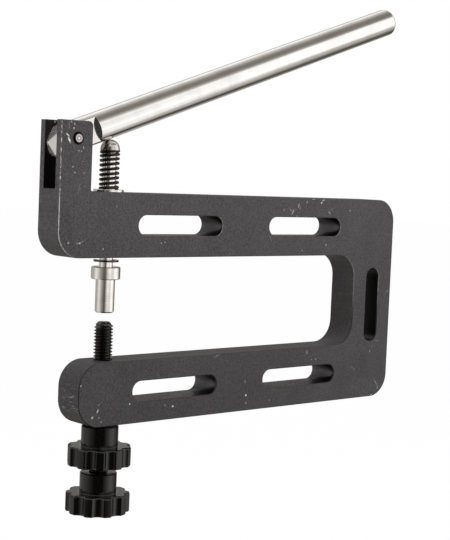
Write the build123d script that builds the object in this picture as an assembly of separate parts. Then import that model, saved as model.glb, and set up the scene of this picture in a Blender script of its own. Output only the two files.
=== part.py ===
"""Small hand lever press with a C-shaped frame, made as separate pieces in millimetres.

The origin is the centre of the flat outer edge of the frame's web. X runs along the arms, and is
negative towards the pressing end. Y runs across the thickness of the frame, which is symmetric about
Y = 0. Z is up, along the plunger and the anvil screw.
"""
from build123d import *
import math
import os

# Frame: one milled plate, a C with a clevis column on the end of its upper arm.
FRAME_LENGTH = 149.0
FRAME_HEIGHT = 72.0
FRAME_THICKNESS = 11.0
ARM_HEIGHT = 20.0
WEB_WIDTH = 20.0
LOWER_ARM_SETBACK = 9.4
CORNER_RADIUS = 8.0
COLUMN_WIDTH = 11.5
COLUMN_HEIGHT = 21.0
COLUMN_CORNER_RADIUS = 1.5
COLUMN_ROOT_RADIUS = 0.8
SLOT_WIDTH = 6.1
SLOT_FLOOR_ABOVE_ARM = 0.6
EDGE_BREAK = 0.25

# Lightening windows: two in each arm and one in the web, all with full-round ends.
WINDOW_WIDTH = 6.5
ARM_WINDOW_LENGTH = 34.7
ARM_WINDOW_CENTRES = (47.5, 103.4)
WEB_WINDOW_LENGTH = 26.7
WEB_WINDOW_DROP = 2.1

# Lever, turned from round bar, with a milled tongue that fits the slot of the column.
LEVER_DIAMETER = 9.5
LEVER_REACH = 148.2
LEVER_REST_ANGLE = 19.4
LEVER_END_RADIUS = 1.2
TONGUE_THICKNESS = 5.8
TONGUE_SHOULDER = 9.6
TONGUE_END = 5.8
TONGUE_BEVEL = 4.25
PIVOT_FROM_COLUMN_FACE = 6.0
PIVOT_ABOVE_ARM = 15.74
PIVOT_DIAMETER = 3.0
PIVOT_LENGTH = 12.0
PIVOT_END_ROUND = 0.35
PIVOT_HOLE_CHAMFER = 0.25
RUNNING_CLEARANCE = 0.05

# Plunger line: plunger, spring, washer, clip and press pin on one vertical axis.
PRESS_FROM_COLUMN_FACE = 22.0
DOME_RADIUS = 3.0
DOME_SKIRT = 0.3
CONTACT_GAP = 0.02
SHANK_DIAMETER = 4.2
CLIP_BELOW_ARM = 0.9
CLIP_THICKNESS = 0.6
CLIP_OUTER_DIAMETER = 7.8
CLIP_GROOVE_DIAMETER = 3.2
NECK_LENGTH = 3.0
SPIGOT_DIAMETER = 3.9
SPIGOT_LENGTH = 6.0
WASHER_OUTER_DIAMETER = 9.4
WASHER_THICKNESS = 0.8
SPRING_OUTER_DIAMETER = 6.3
SPRING_WIRE = 0.9
SPRING_TURNS = 8
COLLAR_DIAMETER = 9.1
COLLAR_HEIGHT = 3.9
PRESS_PIN_DIAMETER = 6.0
PRESS_PIN_LENGTH = 10.35
PRESS_PIN_CHAMFER = 0.4

# Anvil screw line: M6 stud with a star knob at its foot and a second star knob that locks it.
STUD_DIAMETER = 6.0
STUD_LENGTH = 55.0
STUD_TIP_ABOVE_ARM = 11.9
STUD_TIP_CHAMFER = 1.3
KNOB_DIAMETER = 20.0
KNOB_LOBES = 10
KNOB_FLUTE_RADIUS = 2.2
KNOB_FLUTE_DEPTH = 1.1
KNOB_LOBE_ROUND = 0.6
KNOB_HEAD_HEIGHT = 6.2
KNOB_HUB_DIAMETER = 11.6
KNOB_HUB_HEIGHT = 6.3
KNOB_EDGE_ROUND = 0.6
HUB_EDGE_BREAK = 0.3
LOCK_KNOB_GAP = 0.5
KNOB_SPACING = 2.15
LOCK_KNOB_TURN = 1.6
SCREW_KNOB_TURN = 18.7
INSERT_DIAMETER = 8.4
INSERT_LENGTH = 12.0
INSERT_DROP = 0.25

# Levels and stations worked out from the sizes above.
LEFT_X = -FRAME_LENGTH
ARM_TOP_Z = FRAME_HEIGHT / 2
ARM_UNDERSIDE_Z = ARM_TOP_Z - ARM_HEIGHT
LOWER_ARM_TOP_Z = -ARM_UNDERSIDE_Z
LOWER_ARM_FOOT_Z = -ARM_TOP_Z
ARM_CENTRE_Z = ARM_TOP_Z - ARM_HEIGHT / 2
COLUMN_TOP_Z = ARM_TOP_Z + COLUMN_HEIGHT
SLOT_FLOOR_Z = ARM_TOP_Z + SLOT_FLOOR_ABOVE_ARM
PIVOT_X = LEFT_X + PIVOT_FROM_COLUMN_FACE
PIVOT_Z = ARM_TOP_Z + PIVOT_ABOVE_ARM
PRESS_X = LEFT_X + PRESS_FROM_COLUMN_FACE
LEVER_RADIUS = LEVER_DIAMETER / 2
WASHER_TOP_Z = ARM_TOP_Z + WASHER_THICKNESS
STUD_TIP_Z = LOWER_ARM_TOP_Z + STUD_TIP_ABOVE_ARM
KNOB_HEIGHT = KNOB_HUB_HEIGHT + KNOB_HEAD_HEIGHT
LOCK_KNOB_TOP_Z = LOWER_ARM_FOOT_Z - LOCK_KNOB_GAP
SCREW_KNOB_TOP_Z = LOCK_KNOB_TOP_Z - KNOB_HEIGHT - KNOB_SPACING
CLIP_TOP_Z = ARM_UNDERSIDE_Z - CLIP_BELOW_ARM
COLLAR_TOP_Z = ARM_UNDERSIDE_Z - NECK_LENGTH


def dome_centre_z():
    """Height at which the domed head just meets the underside of the resting lever."""
    angle = math.radians(LEVER_REST_ANGLE)
    reach = PRESS_X - PIVOT_X
    stack = LEVER_RADIUS + DOME_RADIUS + CONTACT_GAP
    return PIVOT_Z + reach * math.tan(angle) - stack / math.cos(angle)


DOME_CENTRE_Z = dome_centre_z()
HEAD_UNDERSIDE_Z = DOME_CENTRE_Z - DOME_SKIRT


def upright(radius, low_z, high_z, x=PRESS_X):
    """Solid cylinder on a vertical axis between two levels."""
    height = high_z - low_z
    return Pos(x, 0, low_z + height / 2) * Cylinder(radius, height)


def plate(sketch, thickness):
    """Extrude a sketch drawn in XZ (its local y is Z) both ways about Y = 0."""
    return extrude(Plane.XZ * sketch, thickness / 2, both=True)


def window(centre_x, centre_z, length, turn=0):
    """Tool for a through window with full-round ends, lying along X unless it is turned."""
    outline = SlotOverall(length, WINDOW_WIDTH, rotation=turn)
    return plate(Pos(centre_x, centre_z) * outline, 2 * FRAME_THICKNESS)


def corner_fillet(part, points, radius):
    """Round the edges along Y that pass through the given (x, z) points."""
    across = part.edges().filter_by(Axis.Y)
    chosen = []
    for x, z in points:
        chosen += [e for e in across if abs(e.center().X - x) < 0.01 and abs(e.center().Z - z) < 0.01]
    return fillet(chosen, radius)


def c_frame():
    """C plate with the clevis column, five windows, the pivot hole and the two vertical bores."""
    column_right_x = LEFT_X + COLUMN_WIDTH
    lower_left_x = LEFT_X + LOWER_ARM_SETBACK
    outline = Polyline(
        (LEFT_X, ARM_UNDERSIDE_Z),
        (LEFT_X, COLUMN_TOP_Z),
        (column_right_x, COLUMN_TOP_Z),
        (column_right_x, ARM_TOP_Z),
        (0, ARM_TOP_Z),
        (0, LOWER_ARM_FOOT_Z),
        (lower_left_x, LOWER_ARM_FOOT_Z),
        (lower_left_x, LOWER_ARM_TOP_Z),
        (-WEB_WIDTH, LOWER_ARM_TOP_Z),
        (-WEB_WIDTH, ARM_UNDERSIDE_Z),
        close=True,
    )
    body = plate(make_face(outline), FRAME_THICKNESS)
    large_corners = [
        (LEFT_X, ARM_UNDERSIDE_Z),
        (0, ARM_TOP_Z),
        (0, LOWER_ARM_FOOT_Z),
        (lower_left_x, LOWER_ARM_FOOT_Z),
        (lower_left_x, LOWER_ARM_TOP_Z),
        (-WEB_WIDTH, LOWER_ARM_TOP_Z),
        (-WEB_WIDTH, ARM_UNDERSIDE_Z),
    ]
    body = corner_fillet(body, large_corners, CORNER_RADIUS)
    body = corner_fillet(body, [(column_right_x, COLUMN_TOP_Z)], COLUMN_CORNER_RADIUS)
    body = corner_fillet(body, [(column_right_x, ARM_TOP_Z)], COLUMN_ROOT_RADIUS)

    for centre_z in (ARM_CENTRE_Z, -ARM_CENTRE_Z):
        for station in ARM_WINDOW_CENTRES:
            body -= window(LEFT_X + station, centre_z, ARM_WINDOW_LENGTH)
    body -= window(-WEB_WIDTH / 2, -WEB_WINDOW_DROP, WEB_WINDOW_LENGTH, turn=90)
    side_y = FRAME_THICKNESS / 2
    side_edges = [e for e in body.edges() if abs(abs(e.center().Y) - side_y) < 0.01]
    body = chamfer(side_edges, EDGE_BREAK)

    slot_height = COLUMN_HEIGHT + ARM_HEIGHT
    slot_length = 4 * COLUMN_WIDTH
    body -= Pos(LEFT_X, 0, SLOT_FLOOR_Z + slot_height / 2) * Box(slot_length, SLOT_WIDTH, slot_height)

    hole_radius = PIVOT_DIAMETER / 2 + RUNNING_CLEARANCE
    pivot_axis = Pos(PIVOT_X, 0, PIVOT_Z) * Rot(90, 0, 0)
    body -= pivot_axis * Cylinder(hole_radius, 2 * FRAME_THICKNESS)
    for side in (-1, 1):
        mouth = Cone(hole_radius, hole_radius + PIVOT_HOLE_CHAMFER, PIVOT_HOLE_CHAMFER)
        flip = 90 if side < 0 else -90
        depth_y = side * (side_y - PIVOT_HOLE_CHAMFER / 2)
        body -= Pos(PIVOT_X, depth_y, PIVOT_Z) * Rot(flip, 0, 0) * mouth

    body -= upright(SHANK_DIAMETER / 2 + RUNNING_CLEARANCE, ARM_UNDERSIDE_Z - 1, ARM_TOP_Z + 1)
    body -= upright(STUD_DIAMETER / 2 + RUNNING_CLEARANCE, LOWER_ARM_FOOT_Z - 1, LOWER_ARM_TOP_Z + 1)
    return body


def lever_handle():
    """Round bar with rounded ends, and a milled tongue with a bevelled top corner and the pivot hole."""
    bar_length = LEVER_REACH + TONGUE_END
    bar = Pos((LEVER_REACH - TONGUE_END) / 2, 0, 0) * Rot(0, 90, 0) * Cylinder(LEVER_RADIUS, bar_length)
    bar = fillet(bar.edges().filter_by(GeomType.CIRCLE), LEVER_END_RADIUS)
    bevel = make_face(
        Polyline(
            (-TONGUE_END - TONGUE_BEVEL, LEVER_RADIUS - 2 * TONGUE_BEVEL),
            (-TONGUE_END - TONGUE_BEVEL, LEVER_RADIUS + TONGUE_BEVEL),
            (-TONGUE_END + 2 * TONGUE_BEVEL, LEVER_RADIUS + TONGUE_BEVEL),
            close=True,
        )
    )
    bar -= plate(bevel, LEVER_DIAMETER + 1)
    flat_length = 2 * TONGUE_SHOULDER
    for side in (-1, 1):
        flat = Box(flat_length, LEVER_RADIUS, LEVER_DIAMETER + 1)
        flat_y = side * (TONGUE_THICKNESS / 2 + LEVER_RADIUS / 2)
        bar -= Pos(TONGUE_SHOULDER - flat_length / 2, flat_y, 0) * flat
    bar -= Rot(90, 0, 0) * Cylinder(PIVOT_DIAMETER / 2 + RUNNING_CLEARANCE, LEVER_DIAMETER)
    return Pos(PIVOT_X, 0, PIVOT_Z) * Rot(0, -LEVER_REST_ANGLE, 0) * bar


def pivot_pin():
    """Dowel through both ears of the column and the lever's tongue, its rounded ends just proud."""
    dowel = Cylinder(PIVOT_DIAMETER / 2, PIVOT_LENGTH)
    dowel = fillet(dowel.edges().filter_by(GeomType.CIRCLE), PIVOT_END_ROUND)
    return Pos(PIVOT_X, 0, PIVOT_Z) * Rot(90, 0, 0) * dowel


def plunger_rod():
    """Domed head, plain shank, groove for the clip, and a spigot that carries the press pin."""
    dome = Pos(PRESS_X, 0, DOME_CENTRE_Z) * Sphere(DOME_RADIUS)
    dome &= upright(DOME_RADIUS + 1, DOME_CENTRE_Z, DOME_CENTRE_Z + DOME_RADIUS + 1)
    head = dome + upright(DOME_RADIUS, HEAD_UNDERSIDE_Z, DOME_CENTRE_Z)
    shank = upright(SHANK_DIAMETER / 2, COLLAR_TOP_Z, HEAD_UNDERSIDE_Z)
    spigot = upright(SPIGOT_DIAMETER / 2, COLLAR_TOP_Z - SPIGOT_LENGTH, COLLAR_TOP_Z)
    groove_low_z = CLIP_TOP_Z - CLIP_THICKNESS - RUNNING_CLEARANCE
    groove_high_z = CLIP_TOP_Z + RUNNING_CLEARANCE
    groove = upright(SHANK_DIAMETER, groove_low_z, groove_high_z)
    groove -= upright(CLIP_GROOVE_DIAMETER / 2, groove_low_z, groove_high_z)
    return head + shank + spigot - groove


def return_spring():
    """Compression spring between the washer and the plunger's head, with ground ends."""
    low_z = WASHER_TOP_Z
    high_z = HEAD_UNDERSIDE_Z
    coil_radius = (SPRING_OUTER_DIAMETER - SPRING_WIRE) / 2
    height = high_z - low_z - SPRING_WIRE / 2
    path = Helix(height / SPRING_TURNS, height, coil_radius)
    wire_start = Plane(origin=path @ 0, z_dir=path % 0)
    coil = sweep(wire_start * Circle(SPRING_WIRE / 2), path=path, is_frenet=True)
    coil = Pos(PRESS_X, 0, low_z + SPRING_WIRE / 4) * coil
    return coil & upright(SPRING_OUTER_DIAMETER, low_z, high_z)


def spring_washer():
    """Plain washer that the spring stands on."""
    ring = upright(WASHER_OUTER_DIAMETER / 2, ARM_TOP_Z, WASHER_TOP_Z)
    ring = chamfer(ring.edges().filter_by(GeomType.CIRCLE), WASHER_THICKNESS / 8)
    return ring - upright(SHANK_DIAMETER / 2 + RUNNING_CLEARANCE, ARM_TOP_Z, WASHER_TOP_Z)


def retaining_clip():
    """E-clip in the plunger's groove: an open ring with three inner prongs, its mouth at the back."""
    low_z = CLIP_TOP_Z - CLIP_THICKNESS
    outer = CLIP_OUTER_DIAMETER / 2
    bore = CLIP_GROOVE_DIAMETER / 2 + RUNNING_CLEARANCE
    relief = outer * 0.68
    ring = upright(outer, low_z, CLIP_TOP_Z) - upright(relief, low_z, CLIP_TOP_Z)
    prongs = None
    for turn in (0, 180, 270):
        prong = Pos(outer / 2, 0, 0) * Box(outer, bore * 1.1, CLIP_THICKNESS)
        prong = Pos(PRESS_X, 0, low_z + CLIP_THICKNESS / 2) * Rot(0, 0, turn) * prong
        prongs = prong if prongs is None else prongs + prong
    prongs &= upright(outer - 0.1, low_z, CLIP_TOP_Z)
    mouth_depth = outer + 1
    mouth = Pos(PRESS_X, mouth_depth / 2, CLIP_TOP_Z) * Box(2 * bore, mouth_depth, 4 * CLIP_THICKNESS)
    return ring + prongs - mouth - upright(bore, low_z, CLIP_TOP_Z)


def press_pin():
    """Collar with the plain round pin that does the pressing, screwed on the plunger's spigot."""
    collar_low_z = COLLAR_TOP_Z - COLLAR_HEIGHT
    collar = upright(COLLAR_DIAMETER / 2, collar_low_z, COLLAR_TOP_Z)
    collar = chamfer(collar.edges().filter_by(GeomType.CIRCLE), EDGE_BREAK)
    pin = upright(PRESS_PIN_DIAMETER / 2, collar_low_z - PRESS_PIN_LENGTH, collar_low_z)
    pin = chamfer(pin.edges().filter_by(GeomType.CIRCLE).sort_by(Axis.Z)[0], PRESS_PIN_CHAMFER)
    socket_low_z = COLLAR_TOP_Z - SPIGOT_LENGTH - 0.3
    socket = upright(SPIGOT_DIAMETER / 2 + RUNNING_CLEARANCE, socket_low_z, COLLAR_TOP_Z)
    return collar + pin - socket


def anvil_screw():
    """M6 stud whose chamfered tip is the anvil. Its thread is left at the outside diameter."""
    stud = upright(STUD_DIAMETER / 2, STUD_TIP_Z - STUD_LENGTH, STUD_TIP_Z)
    return chamfer(stud.edges().filter_by(GeomType.CIRCLE), STUD_TIP_CHAMFER)


def star_knob(top_z, turn):
    """Moulded knob: a plain hub above a head with rounded lobes. A flute lies at the angle turn."""
    radius = KNOB_DIAMETER / 2
    flute_centre = radius + KNOB_FLUTE_RADIUS - KNOB_FLUTE_DEPTH
    star = Circle(radius)
    for lobe in range(KNOB_LOBES):
        angle = turn + lobe * 360 / KNOB_LOBES
        star -= Rot(0, 0, angle) * Pos(flute_centre, 0) * Circle(KNOB_FLUTE_RADIUS)
    star = fillet(star.vertices(), KNOB_LOBE_ROUND)
    head_top_z = top_z - KNOB_HUB_HEIGHT
    head = extrude(Pos(PRESS_X, 0, head_top_z - KNOB_HEAD_HEIGHT) * star, KNOB_HEAD_HEIGHT)
    head_edges = head.faces().filter_by(Axis.Z).edges()
    head = fillet(head_edges, KNOB_EDGE_ROUND)
    hub = upright(KNOB_HUB_DIAMETER / 2, head_top_z - 1, top_z)
    hub = chamfer(hub.edges().filter_by(GeomType.CIRCLE).sort_by(Axis.Z)[-1], HUB_EDGE_BREAK)
    return head + hub


def screw_knob():
    """Knob moulded on the foot of the stud."""
    knob = star_knob(SCREW_KNOB_TOP_Z, SCREW_KNOB_TURN)
    socket_low_z = STUD_TIP_Z - STUD_LENGTH - RUNNING_CLEARANCE
    return knob - upright(STUD_DIAMETER / 2 + RUNNING_CLEARANCE, socket_low_z, SCREW_KNOB_TOP_Z)


def lock_knob():
    """Through-bored knob that is screwed up against the frame to lock the anvil screw."""
    knob = star_knob(LOCK_KNOB_TOP_Z, LOCK_KNOB_TURN)
    bore = upright(INSERT_DIAMETER / 2 + RUNNING_CLEARANCE, LOCK_KNOB_TOP_Z - KNOB_HEIGHT, LOCK_KNOB_TOP_Z)
    return knob - bore


def lock_knob_insert():
    """Threaded metal bush inside the lock knob."""
    top_z = LOCK_KNOB_TOP_Z - INSERT_DROP
    bush = upright(INSERT_DIAMETER / 2, top_z - INSERT_LENGTH, top_z)
    bush = chamfer(bush.edges().filter_by(GeomType.CIRCLE), HUB_EDGE_BREAK)
    return bush - upright(STUD_DIAMETER / 2 + RUNNING_CLEARANCE, top_z - INSERT_LENGTH, top_z)


PIECES = (
    c_frame,
    lever_handle,
    pivot_pin,
    plunger_rod,
    return_spring,
    spring_washer,
    retaining_clip,
    press_pin,
    anvil_screw,
    screw_knob,
    lock_knob,
    lock_knob_insert,
)


def main():
    os.makedirs("parts", exist_ok=True)
    for make_piece in PIECES:
        export_step(make_piece(), f"parts/{make_piece.__name__}.step")
        print("wrote", make_piece.__name__)
    print(f"dome centre at z = {DOME_CENTRE_Z:.3f} mm, head underside at z = {HEAD_UNDERSIDE_Z:.3f} mm")


main()
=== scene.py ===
# %% [markdown]
# # A hand lever press, dressed for the studio
# This lesson takes a small hand press that already exists as exact CAD solids and gives it its looks.
# The press has a black C-shaped frame, a plated steel lever, a spring-loaded plunger with a press pin,
# and a screw with two star knobs that sets the anvil under the pin.
# The CAD pieces stay where they are. We repaint them, and we swap two of them, the screw and the spring,
# for finer shapes that a CAD model usually leaves plain.

# %% Load the CAD frame and keep its box
import math

import bmesh
import bpy
from mathutils import Euler, Matrix, Vector


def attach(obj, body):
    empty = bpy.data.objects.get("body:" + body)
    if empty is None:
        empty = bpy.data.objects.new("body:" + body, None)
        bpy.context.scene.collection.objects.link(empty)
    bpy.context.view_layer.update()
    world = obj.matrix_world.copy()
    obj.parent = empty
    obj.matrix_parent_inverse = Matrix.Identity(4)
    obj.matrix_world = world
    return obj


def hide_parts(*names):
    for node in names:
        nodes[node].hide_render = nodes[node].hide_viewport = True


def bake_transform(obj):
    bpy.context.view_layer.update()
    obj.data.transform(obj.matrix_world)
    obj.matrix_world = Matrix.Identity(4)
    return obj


MM = 0.001
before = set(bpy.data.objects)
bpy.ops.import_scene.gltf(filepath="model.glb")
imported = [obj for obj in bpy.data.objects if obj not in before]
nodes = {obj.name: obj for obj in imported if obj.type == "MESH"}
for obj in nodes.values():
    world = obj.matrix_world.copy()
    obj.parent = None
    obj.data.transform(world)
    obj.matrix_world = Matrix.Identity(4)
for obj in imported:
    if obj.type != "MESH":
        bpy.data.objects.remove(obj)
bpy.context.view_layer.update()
print("CAD pieces:", ", ".join(sorted(nodes)))

# %% [markdown]
# ## The camera
# The press is seen from its pressing end, a little from above, through a long lens. A camera in Blender
# looks along its own -Z, so we first tip it up by a quarter turn, then yaw it towards the frame, and last
# roll it slightly. Three named angles are easier to follow than a matrix.

# %% Place the camera
def new_object(name, data):
    """Put the data of a camera, a lamp or a mesh into the scene as an object."""
    made = bpy.data.objects.new(name, data)
    bpy.context.scene.collection.objects.link(made)
    return made


CAMERA_PLACE = Vector((-0.37648, -0.33252, 0.04278))
CAMERA_YAW = math.radians(41.96)
CAMERA_PITCH = math.radians(-4.05)
CAMERA_ROLL = math.radians(2.44)
CAMERA_LENS = 89.6

camera_data = bpy.data.cameras.new("camera")
camera_data.lens = CAMERA_LENS
camera_data.sensor_width = 36.0
camera_data.clip_start = 0.01
camera = new_object("camera", camera_data)
aim = Euler((math.pi / 2 + CAMERA_PITCH, 0.0, -CAMERA_YAW)).to_matrix()
rolled = aim @ Matrix.Rotation(CAMERA_ROLL, 3, "Z")
camera.matrix_world = Matrix.Translation(CAMERA_PLACE) @ rolled.to_4x4()
bpy.context.scene.camera = camera
bpy.context.scene.view_settings.view_transform = "Standard"
print("camera stands at", [round(value, 3) for value in CAMERA_PLACE])

# %% [markdown]
# ## Small helpers for materials
# Every material here is a node tree. These helpers only save typing: one adds a node, one links or sets
# a socket, and two do a step of arithmetic, on values and on vectors.

# %% Node helpers
def add_node(tree, kind, settings=None, **sockets):
    """Add a node, set its properties from a dict, and set or link its sockets by name."""
    node = tree.nodes.new(kind)
    for name, value in (settings or {}).items():
        setattr(node, name, value)
    for name, value in sockets.items():
        plug(tree, node, name.replace("_", " "), value)
    return node


def plug(tree, node, name, value):
    """Link an output to the named or numbered input, or set the input's own value."""
    socket = node.inputs[int(name)] if name.isdigit() else node.inputs[name]
    if isinstance(value, bpy.types.NodeSocket):
        tree.links.new(value, socket)
    else:
        socket.default_value = value


def math_node(tree, operation, first, second=0.0, clamp=False):
    """One step of arithmetic, returned as its output."""
    node = add_node(tree, "ShaderNodeMath", {"operation": operation, "use_clamp": clamp})
    plug(tree, node, "0", first)
    plug(tree, node, "1", second)
    return node.outputs[0]


def vector_node(tree, operation, first, second=None, scale=None):
    """One step of vector arithmetic, returned as the node."""
    node = add_node(tree, "ShaderNodeVectorMath", {"operation": operation})
    plug(tree, node, "0", first)
    if second is not None:
        plug(tree, node, "1", second)
    if scale is not None:
        plug(tree, node, "Scale", scale)
    return node


print("node helpers ready")

# %% [markdown]
# Masks say where a finish lies. A mask is a value from 0 to 1, made by stretching a range, by keeping a
# band, or by multiplying several conditions. We use smooth steps, because a worn edge is never sharp.

# %% Mask helpers
def remap(tree, value, low, high, out_low=0.0, out_high=1.0):
    """Stretch the range low..high of a value to a new range, with a smooth start and end."""
    node = add_node(tree, "ShaderNodeMapRange", {"interpolation_type": "SMOOTHSTEP"}, Value=value)
    for name, number in (("From Min", low), ("From Max", high), ("To Min", out_low), ("To Max", out_high)):
        plug(tree, node, name, number)
    return node.outputs["Result"]


def stretch(tree, value, low, high):
    """0 at low, 1 at high, straight in between."""
    return math_node(tree, "DIVIDE", math_node(tree, "SUBTRACT", value, low), high - low, clamp=True)


def product(tree, *values):
    """All the values multiplied, so that a mask holds only where each of its conditions does."""
    result = values[0]
    for value in values[1:]:
        result = math_node(tree, "MULTIPLY", result, value)
    return result


def band(tree, value, low, high, soft):
    """1 where a value lies between low and high, fading over a soft border."""
    rise = remap(tree, value, low - soft, low + soft)
    return product(tree, rise, remap(tree, value, high - soft, high + soft, 1.0, 0.0))


def inverse(tree, value):
    """1 where a mask is 0, and the other way round."""
    return math_node(tree, "SUBTRACT", 1.0, value)


def distance_from(tree, first, first_middle, second, second_middle):
    """Distance from an axis, given two coordinates and where the axis crosses them."""
    off_first = math_node(tree, "SUBTRACT", first, first_middle)
    off_second = math_node(tree, "SUBTRACT", second, second_middle)
    first_square = product(tree, off_first, off_first)
    second_square = product(tree, off_second, off_second)
    return math_node(tree, "SQRT", math_node(tree, "ADD", first_square, second_square))


print("mask helpers ready")

# %% [markdown]
# Colours are blended by a mask, or made lighter and darker by a value. The last two helpers are for
# patterns. A noise gives soft random values over the surface, and multiplying the coordinates that it
# reads draws it out into streaks.

# %% Colour and pattern helpers
def mix_colour(tree, factor, first, second):
    """Blend two colours by a factor."""
    node = add_node(tree, "ShaderNodeMix", {"data_type": "RGBA"})
    plug(tree, node, "0", factor)
    for index, colour in ((6, first), (7, second)):
        plug(tree, node, str(index), colour if isinstance(colour, bpy.types.NodeSocket) else (*colour, 1.0))
    return node.outputs[2]


def shade_colour(tree, colour, value):
    """A colour made lighter or darker by a value around 1."""
    return vector_node(tree, "SCALE", colour, scale=value).outputs[0]


def noise(tree, spot, scale, detail):
    """Soft random values over the surface: a value as output 0, and a colour."""
    return add_node(tree, "ShaderNodeTexNoise", Vector=spot, Scale=scale, Detail=detail).outputs


def drawn_out(tree, spot, factors):
    """Coordinates multiplied one by one. A small factor draws a pattern out along that direction."""
    return vector_node(tree, "MULTIPLY", spot, factors).outputs[0]


print("colour and pattern helpers ready")

# %% [markdown]
# A finish that several pieces need is written once as a node group. These helpers begin a group, place
# it in a material, and begin a material with its coordinates in millimetres, as on a workshop drawing.

# %% Group and material helpers
VECTOR, VALUE = "NodeSocketVector", "NodeSocketFloat"


def start_group(name, inputs, outputs):
    """Begin a node group with named inputs and outputs, and return it with its two end nodes."""
    group = bpy.data.node_groups.new(name, "ShaderNodeTree")
    for label, kind, value in inputs:
        socket = group.interface.new_socket(label, in_out="INPUT", socket_type=kind)
        if value is not None:
            socket.default_value = value
    for label, kind in outputs:
        group.interface.new_socket(label, in_out="OUTPUT", socket_type=kind)
    return group, group.nodes.new("NodeGroupInput").outputs, group.nodes.new("NodeGroupOutput").inputs


def use_group(tree, group, **sockets):
    """Place a node group in a material with its own values."""
    return add_node(tree, "ShaderNodeGroup", {"node_tree": group}, **sockets).outputs


def start_material(name):
    """Begin a material that has a coordinates node. Returns it with its tree and its shader."""
    material = bpy.data.materials.new(name)
    material.use_nodes = True
    tree = material.node_tree
    tree.nodes.new("ShaderNodeTexCoord")
    return material, tree, tree.nodes["Principled BSDF"]


def coordinates(tree, kind):
    """The Object or Normal coordinates of a started material."""
    return tree.nodes["Texture Coordinate"].outputs[kind]


def three_parts(tree, vector):
    """The x, y and z of a vector."""
    return add_node(tree, "ShaderNodeSeparateXYZ", Vector=vector).outputs


def in_millimetres(tree):
    """The object coordinates in millimetres, as a vector and as its three parts."""
    spot = vector_node(tree, "SCALE", coordinates(tree, "Object"), scale=1 / MM).outputs[0]
    return spot, three_parts(tree, spot)


def facing(tree):
    """Which way the surface faces, as three parts from -1 to 1."""
    return three_parts(tree, coordinates(tree, "Normal"))


print("group and material helpers ready")

# %% [markdown]
# ## The studio
# A white room lights the press softly from all sides. The room is plain white where the camera or a
# reflection looks into it, and a little dimmer for the light that it throws, so that the lamps can give
# the shapes some direction. The floor lies well below the press.

# %% The room
ROOM_GLOW = 0.62
FLOOR_LEVEL = -0.14
PRESS_MIDDLE = Vector((-0.075, 0.0, 0.01))

world = bpy.data.worlds.new("studio")
bpy.context.scene.world = world
world.use_nodes = True
sky = world.node_tree
sky.nodes.clear()


def looked_at(tree):
    """1 where the camera, a reflection or a refraction looks, and 0 for light on its way to a surface."""
    path = tree.nodes.new("ShaderNodeLightPath")
    seen = math_node(tree, "MAXIMUM", path.outputs["Is Camera Ray"], path.outputs["Is Glossy Ray"])
    return math_node(tree, "MAXIMUM", seen, path.outputs["Is Transmission Ray"])


level = math_node(sky, "ADD", ROOM_GLOW, product(sky, looked_at(sky), 1.0 - ROOM_GLOW))
glow = add_node(sky, "ShaderNodeBackground", Color=(1.0, 1.0, 1.0, 1.0), Strength=level)
out = sky.nodes.new("ShaderNodeOutputWorld")
sky.links.new(glow.outputs[0], out.inputs["Surface"])
print("the room glows at", ROOM_GLOW, "of white")

# %% [markdown]
# ## The floor
# The floor is one flat sheet of pale paper. Where the camera looks at it, most of it glows white, so that
# it melts into the room, and the small rest is real paper that keeps the soft shadow of the press. A
# grid primitive is the quickest way to a flat sheet, and the ceiling below uses the same helper.

# %% The floor
FLOOR_SIZE = 9.0
FLOOR_SHARE_WHITE = 0.975
PAPER_WHITE = 0.95
PAPER_ROUGHNESS = 0.9


def mesh_object(name, shape, material):
    """Turn a bmesh into an object with one material."""
    mesh = bpy.data.meshes.new(name)
    shape.to_mesh(mesh)
    shape.free()
    mesh.materials.append(material)
    return new_object(name, mesh)


def stage_object(name, shape, material):
    """Turn a bmesh into an object of the set, which is no part of the press."""
    made = mesh_object(name, shape, material)
    return made


def flat_sheet(size_x, size_y, centre):
    """A level rectangle as a bmesh."""
    shape = bmesh.new()
    bmesh.ops.create_grid(shape, x_segments=1, y_segments=1, size=0.5)
    bmesh.ops.scale(shape, vec=(size_x, size_y, 1.0), verts=shape.verts)
    bmesh.ops.translate(shape, vec=centre, verts=shape.verts)
    return shape


paint, tree, shader = start_material("pale_floor")
plug(tree, shader, "Base Color", (PAPER_WHITE, PAPER_WHITE, PAPER_WHITE, 1.0))
plug(tree, shader, "Roughness", PAPER_ROUGHNESS)
white = add_node(tree, "ShaderNodeEmission", Strength=1.0)
mixed = tree.nodes.new("ShaderNodeMixShader")
plug(tree, mixed, "0", product(tree, looked_at(tree), FLOOR_SHARE_WHITE))
tree.links.new(shader.outputs[0], mixed.inputs[1])
tree.links.new(white.outputs[0], mixed.inputs[2])
tree.links.new(mixed.outputs[0], tree.nodes["Material Output"].inputs["Surface"])
stage_object("floor", flat_sheet(FLOOR_SIZE, FLOOR_SIZE, (0.0, 0.0, FLOOR_LEVEL)), paint)
print("the floor lies at a height of", FLOOR_LEVEL, "m")

# %% [markdown]
# ## The lamps
# Two square soft boxes give the shapes a direction, one from the pressing end and one from the right. A
# large lamp close by makes soft shadows. Both stay out of the reflections, which the flags draw instead.
# Places and sizes are in metres.

# %% The lamps
def soft_lamp(name, place, size, watts):
    """A square soft box that points at the middle of the press."""
    data = bpy.data.lights.new(name, "AREA")
    data.shape = "SQUARE"
    data.size = size
    data.energy = watts
    lamp = new_object(name, data)
    lamp.location = place
    lamp.rotation_euler = (PRESS_MIDDLE - Vector(place)).to_track_quat("-Z", "Y").to_euler()
    lamp.visible_camera = False
    lamp.visible_glossy = False
    print(name, "gives", watts, "watts")


soft_lamp("lamp_left", (-0.75, -0.15, 0.45), 0.4, 3.2)
soft_lamp("lamp_right", (0.15, -0.55, 0.49), 0.3, 3.5)

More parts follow.
